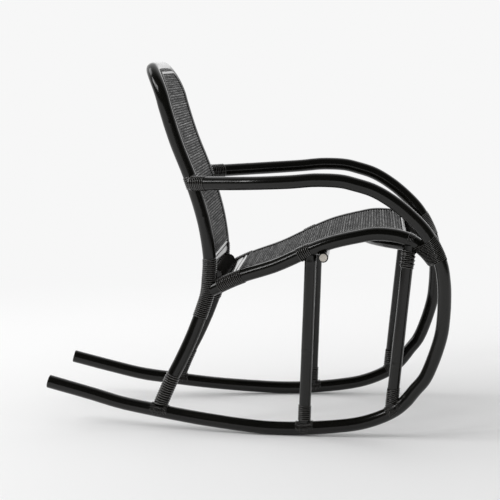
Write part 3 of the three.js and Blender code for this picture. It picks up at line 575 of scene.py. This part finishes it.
def stretched_noise(tree, coords, scale, detail=3, roughness=0.55):
    """Noise with its own scale along each coordinate, in cells to the metre."""
    mapped = add_node(tree, "ShaderNodeMapping", {"Vector": coords, "Scale": scale})
    return add_node(
        tree, "ShaderNodeTexNoise",
        {"Vector": mapped.outputs[0], "Scale": 1.0, "Detail": detail, "Roughness": roughness},
    ).outputs[0]


def mixed(tree, a, share, b, other_share):
    return maths(tree, "MULTIPLY_ADD", a, share, maths(tree, "MULTIPLY", b, other_share))


def finish_material(tree, shader, colour, rough, height, strength, distance):
    """Links the colour, the roughness and a bump, whose distance is in metres."""
    tree.links.new(colour, shader.inputs["Base Color"])
    tree.links.new(rough, shader.inputs["Roughness"])
    bump = add_node(tree, "ShaderNodeBump", {"Height": height, "Strength": strength, "Distance": distance})
    tree.links.new(bump.outputs[0], shader.inputs["Normal"])


def lacquer_material():
    """Glossy black lacquer over long grain."""
    mat, tree, shader = node_material("black_lacquer", (0.004, 0.004, 0.003), 0.2, Specular_IOR_Level=0.4)
    coords = add_node(tree, "ShaderNodeUVMap").outputs[0]
    grain = stretched_noise(tree, coords, (900, 26, 1), 4)
    cloud = stretched_noise(tree, coords, (60, 9, 1), 3)
    tone = mixed(tree, cloud, 0.6, grain, 0.4)
    stops = [
        (0.3, (0.0016, 0.0016, 0.0012)), (0.55, (0.0034, 0.0033, 0.0024)), (0.75, (0.008, 0.007, 0.0045)),
    ]
    colour = ramp(tree, tone, stops)
    rough = maths(tree, "MULTIPLY_ADD", cloud, 0.14, 0.1)
    finish_material(tree, shader, colour, rough, tone, 0.12, 0.0006)
    return mat


def strand_material(name="black_strand", shine=0.55, roughness=0.06, crest=0.0):
    """Satin strand. Its crest is painted lighter by the given share, a painted highlight along each turn."""
    mat, tree, shader = node_material(name, BLACK_STRAND, 0.25, Specular_IOR_Level=shine)
    coords = add_node(tree, "ShaderNodeUVMap").outputs[0]
    fibre = stretched_noise(tree, coords, (2600, 60, 1), 4)
    cloud = stretched_noise(tree, coords, (200, 25, 1), 3)
    tone = mixed(tree, cloud, 0.5, fibre, 0.5)
    across = add_node(tree, "ShaderNodeSeparateXYZ", {0: coords}).outputs[0]
    # The painted highlight: a lighter band along the strand's crest, flecked by the fibre; the ramp's last
    # stop is its colour
    from_crest = maths(tree, "ABSOLUTE", maths(tree, "SUBTRACT", across, CREST_AT * MM))
    on_crest = maths(tree, "MULTIPLY_ADD", from_crest, -1 / (CREST_HALF * MM), 1, clamp=True)
    painted_crest_highlight = maths(tree, "MULTIPLY_ADD", fibre, 0.3 * crest, 0.85 * crest)
    tone = maths(tree, "MAXIMUM", tone, maths(tree, "MULTIPLY", on_crest, painted_crest_highlight))
    stops = [
        (0.3, (0.0025, 0.0024, 0.002)), (0.5, BLACK_STRAND), (0.72, (0.012, 0.0115, 0.01)),
        (1, (0.45, 0.44, 0.42)),
    ]
    colour = ramp(tree, tone, stops)
    rough = maths(tree, "MULTIPLY_ADD", fibre, 0.12, roughness)
    finish_material(tree, shader, colour, rough, fibre, 0.08, 0.0003)
    return mat


def half_wave(tree, value):
    """A hump over each whole step of the value."""
    return maths(tree, "SINE", maths(tree, "MULTIPLY", maths(tree, "FRACT", value), math.pi))


def weave_material():
    """Fine cane: ribs from side to side, held by warps that pass over every second rib."""
    mat, tree, shader = node_material("woven_cane", (0.02, 0.02, 0.019), 0.4)
    coords = add_node(tree, "ShaderNodeUVMap").outputs[0]
    parts = add_node(tree, "ShaderNodeSeparateXYZ", {0: coords})
    wander = stretched_noise(tree, coords, (14, 40, 1), 2)
    row = maths(tree, "DIVIDE", parts.outputs[1], RIB * MM)
    moved = maths(tree, "MULTIPLY_ADD", wander, WARP / 2, parts.outputs[0])
    column = maths(tree, "DIVIDE", moved, WARP)
    row_index = maths(tree, "FLOOR", row)
    crown = half_wave(tree, row)
    over = half_wave(tree, maths(tree, "MULTIPLY_ADD", row_index, 0.5, column))
    height = maths(tree, "MULTIPLY", crown, maths(tree, "MULTIPLY_ADD", over, 0.6, 0.4))
    # How worn each spot is: rib by rib, in streaks, and in a mottle that shows at a grazing angle
    white = add_node(tree, "ShaderNodeTexWhiteNoise", {"W": row_index}, noise_dimensions="1D")
    streak = stretched_noise(tree, coords, (22, 330, 1), 3, 0.6)
    mottle = stretched_noise(tree, coords, (12, 240, 1), 4, 0.75)
    mottle = maths(tree, "MULTIPLY_ADD", mottle, 1.9, -0.45)
    worn = maths(tree, "MULTIPLY_ADD", streak, 0.7, mottle)
    worn = maths(tree, "MULTIPLY_ADD", white.outputs["Value"], 0.22, worn)
    # Scaled by the rib's height, so the tone is painted near black in the gaps between the ribs: painted
    # shade in the weave's hollows
    tone = maths(tree, "MULTIPLY", height, maths(tree, "SUBTRACT", worn, 0.36))
    stops = [
        (0.05, (0.001, 0.001, 0.001)), (0.3, (0.006, 0.006, 0.0055)), (0.6, (0.03, 0.03, 0.028)),
        (0.9, (0.12, 0.12, 0.115)),
    ]
    rough = maths(tree, "MULTIPLY_ADD", tone, -0.75, 0.95)
    finish_material(tree, shader, ramp(tree, tone, stops), rough, height, 0.8, 0.0006)
    return mat


def steel_material():
    """Dull brushed steel, for the screws."""
    mat, tree, shader = node_material("dull_steel", (0.42, 0.41, 0.4), 0.42, Metallic=1.0)
    coords = add_node(tree, "ShaderNodeTexCoord").outputs["Object"]
    brushed = stretched_noise(tree, coords, (900, 900, 90), 4)
    colour = ramp(tree, brushed, [(0.3, (0.3, 0.29, 0.28)), (0.7, (0.5, 0.49, 0.47))])
    rough = maths(tree, "MULTIPLY_ADD", brushed, 0.3, 0.3)
    finish_material(tree, shader, colour, rough, brushed, 0.2, 0.0002)
    return mat


def cut_cane_material():
    """The pale end grain of a bare cane, with its pores."""
    mat, tree, shader = node_material("cut_cane", (0.45, 0.42, 0.36), 0.6)
    coords = add_node(tree, "ShaderNodeTexCoord").outputs["Object"]
    pores = add_node(tree, "ShaderNodeTexVoronoi", {"Vector": coords, "Scale": 900.0}).outputs["Distance"]
    cloud = stretched_noise(tree, coords, (120, 120, 120), 3)
    tone = mixed(tree, cloud, 0.6, pores, 0.5)
    stops = [(0.25, (0.2, 0.18, 0.15)), (0.5, (0.45, 0.42, 0.37)), (0.8, (0.6, 0.57, 0.52))]
    rough = maths(tree, "MULTIPLY_ADD", pores, 0.3, 0.5)
    finish_material(tree, shader, ramp(tree, tone, stops), rough, pores, 0.3, 0.0003)
    return mat


lacquer = lacquer_material()
# The windings' strand, its crests painted lighter as a painted highlight
strand_mat = strand_material(crest=0.9)
weave = weave_material()
steel = steel_material()
matt_strand = strand_material("matt_strand", 0.02, 0.7)
cut_cane = cut_cane_material()
strip_mat = strand_material("edge_strand", 0.55, 0.2)

# How far each bar stops short of its path's ends, where it meets another pole
REAR_LEG_START, RAIL_INSET, LEG_FOOT_INSET, LEG_TOP_INSET, BRACE_INSET = 13, 9, 12, 11, 11


def lacquered(node, path, start, end, radius, seed, **looks):
    """The round pole that stands for a node of the CAD."""
    pole(f"{node}_round", path, start, end, radius, lacquer, [node], seed, **looks)


# Poles
scarf_s = {name: back_at(name, SCARF_AT * SEAT_HEIGHT) for name in SIDES}
lacquered("back_hoop", back_path, scarf_s["left"], scarf_s["right"], POLE, 3)
for number, name in enumerate(SIDES):
    seed = 11 * number
    path = side_paths[name]
    lacquered(f"side_pole_{name}", path, 0, path.length, POLE, seed + 1, sides=32)
    foot_end = back_path.length - REAR_LEG_START if name == "right" else REAR_LEG_START
    lacquered(f"rear_leg_{name}", back_path, *sorted((scarf_s[name], foot_end)), POLE, seed + 2, cut=0)
    path = rail_paths[name]
    lacquered(f"seat_rail_{name}", path, RAIL_INSET, path.length, POLE, seed + 4)
    for kind, legs, leg_seed in (("middle", middle_legs, seed + 5), ("front", front_legs, seed + 6)):
        path = legs[name]
        stop = path.length - LEG_TOP_INSET
        lacquered(f"{kind}_leg_{name}", path, LEG_FOOT_INSET, stop, LEG, leg_seed, cut=0)
lacquered("rear_crossbar", rear_bar, 0, rear_bar.length, CROSSBAR, 31)
lacquered("front_crossbar", front_bar, 0, front_bar.length, CROSSBAR, 32)
lacquered("middle_crossbar", under_bar, 0, under_bar.length, UNDER_BAR, 33)
lacquered("bow_brace", brace, BRACE_INSET, brace.length - BRACE_INSET, UNDER_BAR, 34, cut=0)


# Woven panels: their inset from the poles' centres, their columns, and the offset that keeps UVs positive
PANEL_INSET, PANEL_COLUMNS, UV_OFFSET = 6, 14, 300
MIRROR = (1, -1, 1)


def back_edge(s, inset, lift, mirror=False):
    """Points beside the back's left pole, inward by the inset and forward by the lift."""
    centre, _, normal, binormal = back_path.frames(s)
    _, _, _, middle = back_path.frames(back_path.length / 2)
    inward = 1 if middle[0][2] < 0 else -1
    point = centre + binormal * inward * inset + normal * lift
    return point * MIRROR if mirror else point


def seat_edge(s, inset, lift, mirror=False):
    """Points beside the left seat rail, inward by the inset and up by the lift."""
    centre, tangent, _, _ = rail_paths["left"].frames(s)
    up = unit(np.cross(tangent, AXIS_Y))
    up = up * np.sign(up[:, 2:3])
    inward = np.cross(tangent, up)
    point = centre + up * lift + inward * inset
    return point * MIRROR if mirror else point


def panel(name, edge, s_range, node):
    """A woven sheet between two poles, ribbed from side to side and closed round its edges."""
    ribs = round((s_range[1] - s_range[0]) / RIB)
    rows = ribs * RIB_ROWS + 1
    s = np.linspace(*s_range, rows)
    crown = RIB_CROWN * np.abs(np.sin(np.arange(rows) * math.pi / RIB_ROWS))
    level, above = edge(s, PANEL_INSET, PANEL_LIFT), edge(s, PANEL_INSET, PANEL_LIFT + 1)
    across = np.linspace(0, 1, PANEL_COLUMNS)[None, :, None]
    sheets = []
    for face in (1, -1):
        lift = (face * (PANEL_HALF - RIB_CROWN + crown))[:, None]
        near = level + (above - level) * lift
        far = near * MIRROR
        sheets.append(near[:, None, :] * (1 - across) + far[:, None, :] * across)
    ring = np.concatenate([sheets[0], sheets[1][:, ::-1]], axis=1)
    count = 2 * PANEL_COLUMNS
    verts = ring.reshape(-1, 3)
    run = np.repeat(np.arange(rows) * RIB / RIB_ROWS, count)
    uvs = [[(verts[v, 1] + UV_OFFSET, run[v]) for v in face] for face in ring_faces(rows, count)]
    uvs += [[(0, 0)] * count] * 2
    make_mesh(name, verts, rows, count, uvs, weave, [node])


bar_z = BACK_BAR_AT * SEAT_HEIGHT
half_back = back_path.length / 2
back_start = back_path.where(2, bar_z + EDGE_BAR, 0, half_back)
back_end = back_path.where(1, BACK_SPREAD - CORNER, half_back / 2, half_back)
panel("back_panel_woven", back_edge, (back_start, back_end), "back_panel")
seat_start = rail_at("left", SEAT_REAR_BAR) + EDGE_BAR + PANEL_HALF
seat_end = rail_at("left", SEAT_FRONT_BAR) - EDGE_BAR - PANEL_HALF
panel("seat_panel_woven", seat_edge, (seat_start, seat_end), "seat_panel")


def edge_strip(edge, stops, mirror):
    """A crowned strip along a panel's edge."""
    lift = PANEL_LIFT + PANEL_HALF
    inner = edge(stops, PANEL_EDGE + BEAD, lift, mirror)
    outer = edge(stops, PANEL_EDGE, lift, mirror)
    raised = edge(stops, PANEL_EDGE, lift + 1, mirror)
    return (inner + outer) / 2, unit(raised - outer), unit(inner - outer)


# The strips' points along the edge, their thickness, and the points over which their ends sink away
STRIP_STEPS, STRIP_THICK, STRIP_TUCK = 90, 2.2, 2


def lay_strip(node, base, out, side):
    strand(f"{node}_laid", base, out, side, BEAD / 2, STRIP_THICK, strip_mat, [node], tuck=STRIP_TUCK)


stops = np.linspace(back_start, back_end, STRIP_STEPS)
halves = zip(edge_strip(back_edge, stops, False), edge_strip(back_edge, stops, True))
lay_strip("back_edge_strip", *(np.vstack([left, right[::-1]]) for left, right in halves))
stops = np.linspace(seat_start, seat_end, STRIP_STEPS)
for name in SIDES:
    lay_strip(f"seat_edge_strip_{name}", *edge_strip(seat_edge, stops, name == "right"))

# Bars at the panels' free edges, with their ends' insets from the poles' centres and their seeds
bar_lift = PANEL_LIFT + PANEL_HALF - EDGE_BAR
back_bar_at = back_edge(back_path.where(2, bar_z, 0, half_back), 0, bar_lift)[0]
rear_at = seat_edge(rail_at("left", SEAT_REAR_BAR), 0, bar_lift)[0]
front_at = seat_edge(rail_at("left", SEAT_FRONT_BAR), 0, bar_lift)[0]
for node, spot, inset, bar_seed in (
    ("back_panel_bar", back_bar_at, 13, 41), ("seat_rear_bar", rear_at, 13, 42),
    ("seat_front_bar", front_at, 11, 43),
):
    bar = cross_path(spot[0], spot[2], spot[1] - inset)
    lacquered(node, bar, 0, bar.length, EDGE_BAR, bar_seed, sides=18)

# The flat canes: their place beyond the bars, their sizes, and the points along them
CANE_BEYOND, CANE_INSET, CANE_LIFT, CANE_HALF, CANE_THICK = 14.5, 16.5, 9, 8.5, 2.6
CANE_ENDS, CANE_STEPS, CANE_END_REACH, CANE_BLUNT = (0, 1.2, 3, 5), 30, 9, 0.1


def flat_cane(name, edge, s):
    """A flat cane with rounded ends, across the opening between the two panels."""
    middle, raised = edge(s, 0, CANE_LIFT)[0], edge(s, 0, CANE_LIFT + 1)[0]
    near, far = edge(s - 1, 0, CANE_LIFT)[0], edge(s + 1, 0, CANE_LIFT)[0]
    reach = abs(middle[1]) - CANE_INSET
    ends = np.array(CANE_ENDS)
    between = np.linspace(CANE_END_REACH - reach, reach - CANE_END_REACH, CANE_STEPS)
    y = np.concatenate([-reach + ends, between, reach - ends[::-1]])
    past = np.clip(np.abs(y) - reach + CANE_HALF, 0, CANE_HALF - CANE_BLUNT)
    rounded = CANE_HALF * np.sqrt(1 - (past / CANE_HALF) ** 2)
    base = np.stack([np.full_like(y, middle[0]), y, np.full_like(y, middle[2])], -1)
    out = unit(np.tile((raised - middle) * (1, 0, 1), (len(y), 1)))
    side = unit(np.tile((near - far) * (1, 0, 1), (len(y), 1)))
    strand(name, base, out, side, rounded, CANE_THICK, lacquer, [], tuck=0)


flat_cane("back_flat_cane", back_edge, back_path.where(2, bar_z - CANE_BEYOND, 0, half_back))
flat_cane("seat_flat_cane", seat_edge, rail_at("left", SEAT_REAR_BAR) - CANE_BEYOND)

# Strand round the crossbars, from an inset at each end
WRAP_THICK, WRAP_STEPS = 1.5, 14
for name, bar, inset, turns, wrap_seed in (
    ("rear_crossbar_wrap", rear_bar, 3.5, 63, 61), ("front_crossbar_wrap", front_bar, 8, 88, 62),
):
    bound(
        name, bar, CROSSBAR, inset, bar.length - inset, turns, matt_strand, [], wrap_seed,
        thick=WRAP_THICK, steps=WRAP_STEPS,
    )

# The pale cut ends of the middle crossbar, thin discs just off its tips
CAP_RADIUS, CAP_FROM, CAP_TO, CAP_SIDES = 8.5, 0.2, 1, 20
for k, (tip_at, inner, outer) in enumerate(((0, -CAP_TO, -CAP_FROM), (under_bar.length, CAP_FROM, CAP_TO))):
    tip = under_bar.at(tip_at)
    cap = straight(tip + (0, inner, 0), tip + (0, outer, 0), AXIS_Z)
    pole(
        f"middle_crossbar_end_{k}", cap, 0, cap.length, CAP_RADIUS, cut_cane, [], 70 + k,
        sides=CAP_SIDES, cut=0,
    )

# Where the windings end, as shares of the arm's height, the seat's height and the chair's depth
POST_WINDING, SCARF_WINDING = (0.9984, 0.953), (0.855, 0.5586)
REAR_WINDING, MIDDLE_WINDING, FRONT_WINDING = (-0.062, -0.002), (0.136, 0.166), (0.42, 0.461)

# The same in millimetres, from the arm's end and below the front leg's top, and the strand crossed there
ARM_WINDING, TOP_WINDING = (4, 41), (21, 61)
CROSSED_LIFT, CROSSED_HALF, CROSSED_TURNS, CROSSED_BELOW, CROSSED_ABOVE = 1.5, 1.3, 4, 3, 4

# The saddles' ribs along the pole, and their reach round it from its top, in radians
SADDLE_RIBS = (-18.5, -15.7, -12.9, -10.1, 10.1, 12.9, 15.7, 18.5)
SADDLE_REACH, LASHING_REACH = (-1.75, 1.75), (-1.9, 1.9)
DROP_REACHES = {"a": (0.75, 2.05), "b": (-2.05, -0.75)}
LASHING = np.linspace(-5.6, 5.6, 5)
DROPS = np.linspace(-8.4, 8.4, 7)


def wind(node, path, radius, start, end, turns, seed, *runner_and_fade):
    """The winding that stands for a node of the CAD."""
    bound(f"{node}_bound", path, radius, start, end, turns, strand_mat, [node], seed, *runner_and_fade)


for number, name in enumerate(SIDES):
    seed = 5 + 17 * number
    arm, rail, middle, front = side_paths[name], rail_paths[name], middle_legs[name], front_legs[name]
    wind(f"arm_winding_{name}", arm, POLE, *ARM_WINDING, 8, seed)
    top, bottom = (back_at(name, share * ARM_HEIGHT) for share in POST_WINDING)
    wind(f"post_winding_{name}", back_path, POLE, top, bottom, 6, seed + 1)
    top, bottom = (back_at(name, share * SEAT_HEIGHT) for share in SCARF_WINDING)
    wind(f"scarf_winding_{name}", back_path, POLE, top, bottom, 31, seed + 2)
    start, end = (rail_at(name, share) for share in REAR_WINDING)
    wind(f"rail_rear_winding_{name}", rail, POLE, start, end, 14, seed + 3)
    start, end = (rail_at(name, share) for share in MIDDLE_WINDING)
    wind(f"rail_middle_winding_{name}", rail, POLE, start, end, 7, seed + 4)
    span = [rail_at(name, share) for share in FRONT_WINDING]
    node = f"front_winding_{name}"
    bound_pair(f"{node}_bound", rail, arm, span, 15, strand_mat, [node], seed + 5)
    node = f"front_leg_top_winding_{name}"
    top, bottom = (front.length - below for below in TOP_WINDING)
    wind(node, front, LEG, top, bottom, 9, seed + 6)
    bound(
        f"{node}_crossed", front, LEG + CROSSED_LIFT, bottom + CROSSED_ABOVE, top - CROSSED_BELOW,
        CROSSED_TURNS, strand_mat, [], seed + 8, half=CROSSED_HALF,
    )
    over_leg = rail_at(name, FRONT_TOP)
    saddle(f"front_leg_lashing_{name}", rail, over_leg, LASHING_REACH, LASHING, strand_mat, [], seed + 9)
    # Each leg's foot: its pole and radius, its winding's ends and turns, its share of the depth, and the fade
    feet = (
        ("rear", back_path, POLE, 12, 86, 14, REAR_FOOT, 14),
        ("middle", middle, LEG, 17, 51, 8, MIDDLE_FOOT, RUNNER_FADE),
        ("front", front, LEG, 20, 52, 7, FRONT_FOOT, RUNNER_FADE),
    )
    for k, (kind, leg, radius, near, far, turns, share, fade) in enumerate(feet):
        if kind == "rear" and name == "right":
            near, far = back_path.length - near, back_path.length - far
        on_runner = runner_at(name, share)
        runner = arm.frames(on_runner)[1][0]
        wind(f"{kind}_foot_winding_{name}", leg, radius, far, near, turns, seed + 7 + k, runner, fade)
        up_leg = leg.frames((near + far) / 2)[1][0]
        if up_leg[2] < 0:
            up_leg = -up_leg
        # How far along the runner the leaning leg's axis comes out of it
        cosine = float((up_leg * runner).sum())
        lean = (POLE + 1) * cosine / math.sqrt(1 - cosine**2)
        node = f"{kind}_foot_saddle_{name}"
        place = on_runner + lean
        saddle(f"{node}_bound", arm, place, SADDLE_REACH, SADDLE_RIBS, strand_mat, [node], seed + 10 + k)
        place = on_runner + lean / 2
        for letter, reach in DROP_REACHES.items():
            saddle(f"{node}_drop_{letter}", arm, place, reach, DROPS, strand_mat, [], seed + 13 + k)

# The screws keep the CAD's shape
for name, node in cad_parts.items():
    if "screw" in name:
        node.data.materials.clear()
        node.data.materials.append(steel)

# The studio: the greys of the wall, of the room that the lacquer mirrors and of the light all round.
# The mirrored room turns into the wall between two values of a ray's direction to the rear.
WALL, ROOM, AMBIENT = 0.93, 0.05, 0.72
ROOM_TO_WALL = (-0.15, 0.75)

# The floor, in metres: its size, its drop under the chair, and where it turns into the wall
FLOOR_SIZE, FLOOR_DROP, FLOOR_TO_WALL = 400, 0.0005, (0.9, 2.6)


def grey(level):
    return (level, level, level)


def smooth_step(tree, value, limits):
    """Rises smoothly from 0 to 1 while the value goes from one limit to the other."""
    inputs = {"Value": value, "From Min": limits[0], "From Max": limits[1]}
    return add_node(tree, "ShaderNodeMapRange", inputs, interpolation_type="SMOOTHSTEP").outputs[0]


def blend(tree, share, first, second):
    """Two shaders, with the second one's share."""
    return add_node(tree, "ShaderNodeMixShader", {0: share, 1: first, 2: second}).outputs[0]


def ray_kinds(tree):
    """1 for the rays that see the background directly, and 1 for those that see it mirrored."""
    path = add_node(tree, "ShaderNodeLightPath").outputs
    return maths(tree, "MAXIMUM", path["Is Camera Ray"], path["Is Transmission Ray"]), path["Is Glossy Ray"]


def floor_material():
    """Matt and pale near the chair, where its shadow lies, and the colour of the wall far from it."""
    mat, tree, shader = node_material("studio_floor", grey(0.8), 0.7, Specular_IOR_Level=0.1)
    coords = add_node(tree, "ShaderNodeTexCoord").outputs["Object"]
    parts = add_node(tree, "ShaderNodeSeparateXYZ", {0: coords})
    # Painted shade: the floor's colour darkens towards the camera, in place of the light falling off across
    # the floor
    depth = maths(tree, "MULTIPLY_ADD", parts.outputs[1], 0.4, 0.3, clamp=True)
    colour = ramp(tree, depth, [(0, grey(0.86)), (0.3, grey(0.89)), (0.8, grey(0.92))])
    tree.links.new(colour, shader.inputs["Base Color"])
    distance = add_node(tree, "ShaderNodeVectorMath", {0: coords}, operation="LENGTH").outputs["Value"]
    seen = maths(tree, "MAXIMUM", *ray_kinds(tree))
    far = maths(tree, "MULTIPLY", smooth_step(tree, distance, FLOOR_TO_WALL), seen)
    glow = add_node(tree, "ShaderNodeEmission", {"Color": (*grey(WALL), 1), "Strength": 1.0})
    surface = blend(tree, far, shader.outputs[0], glow.outputs[0])
    tree.links.new(surface, tree.nodes["Material Output"].inputs["Surface"])
    return mat


bpy.ops.mesh.primitive_plane_add(size=FLOOR_SIZE, location=(0, 0, -FLOOR_DROP))
floor = bpy.context.object
floor.name = "studio_floor"
floor.data.materials.append(floor_material())


def backdrop(tree, level):
    inputs = {"Color": (*grey(level), 1), "Strength": 1.0}
    return add_node(tree, "ShaderNodeBackground", inputs).outputs[0]


# Mirrored rays see a wall behind the chair and a dim room on the camera's side, as in a studio
world = bpy.data.worlds.new("studio")
bpy.context.scene.world = world
world.use_nodes = True
tree = world.node_tree
facing = add_node(tree, "ShaderNodeTexCoord").outputs["Generated"]
depth = add_node(tree, "ShaderNodeSeparateXYZ", {0: facing}).outputs[1]
wall = backdrop(tree, WALL)
mirrored_room = blend(tree, smooth_step(tree, depth, ROOM_TO_WALL), backdrop(tree, ROOM), wall)
direct, mirrored = ray_kinds(tree)
lit = blend(tree, mirrored, backdrop(tree, AMBIENT), mirrored_room)
tree.links.new(blend(tree, direct, lit, wall), tree.nodes["World Output"].inputs["Surface"])


def place_object(name, data, place, direction):
    """Puts a light or a camera in the scene, looking along a direction."""
    obj = bpy.data.objects.new(name, data)
    obj.location = place
    obj.rotation_mode = "QUATERNION"
    obj.rotation_quaternion = direction.to_track_quat("-Z", "Y")
    bpy.context.scene.collection.objects.link(obj)
    return obj


def softbox(name, place, target, size, power):
    """A rectangular light that faces its target. Sizes are in metres and its power in watts."""
    light = bpy.data.lights.new(name, "AREA")
    light.shape = "RECTANGLE"
    light.size, light.size_y = size
    light.energy = power
    return place_object(name, light, place, Vector(target) - Vector(place))


softbox("key", (-3.2, 1.4, 3.4), (0.2, 0, 0.2), (1.8, 1.8), 28)
softbox("left", (-3.3, -1.0, 2.6), (0, -0.1, 0.4), (1.8, 1.0), 40)
softbox("front_strip", (-2.3, -2.1, 2.6), (0, -0.2, 0.4), (0.5, 0.8), 17)
softbox("rear_panel", (0.2, 2.6, 1.3), (0, 0, 0.4), (3.0, 1.6), 9).visible_camera = False

# The photo's camera, solved from its perspective lines: millimetres, degrees and metres
SENSOR_WIDTH, LENS, AZIMUTH, ELEVATION = 36, 122.76, math.radians(4.167), math.radians(6.359)
CAMERA_PLACE = (0.2823, -3.905, 0.8167)

camera = bpy.data.cameras.new("camera")
camera.sensor_width = SENSOR_WIDTH
camera.lens = LENS
level = math.cos(ELEVATION)
behind = Vector((math.sin(AZIMUTH) * level, -math.cos(AZIMUTH) * level, math.sin(ELEVATION)))
bpy.context.scene.camera = place_object("camera", camera, CAMERA_PLACE, -behind)
bpy.context.scene.view_settings.view_transform = "Standard"
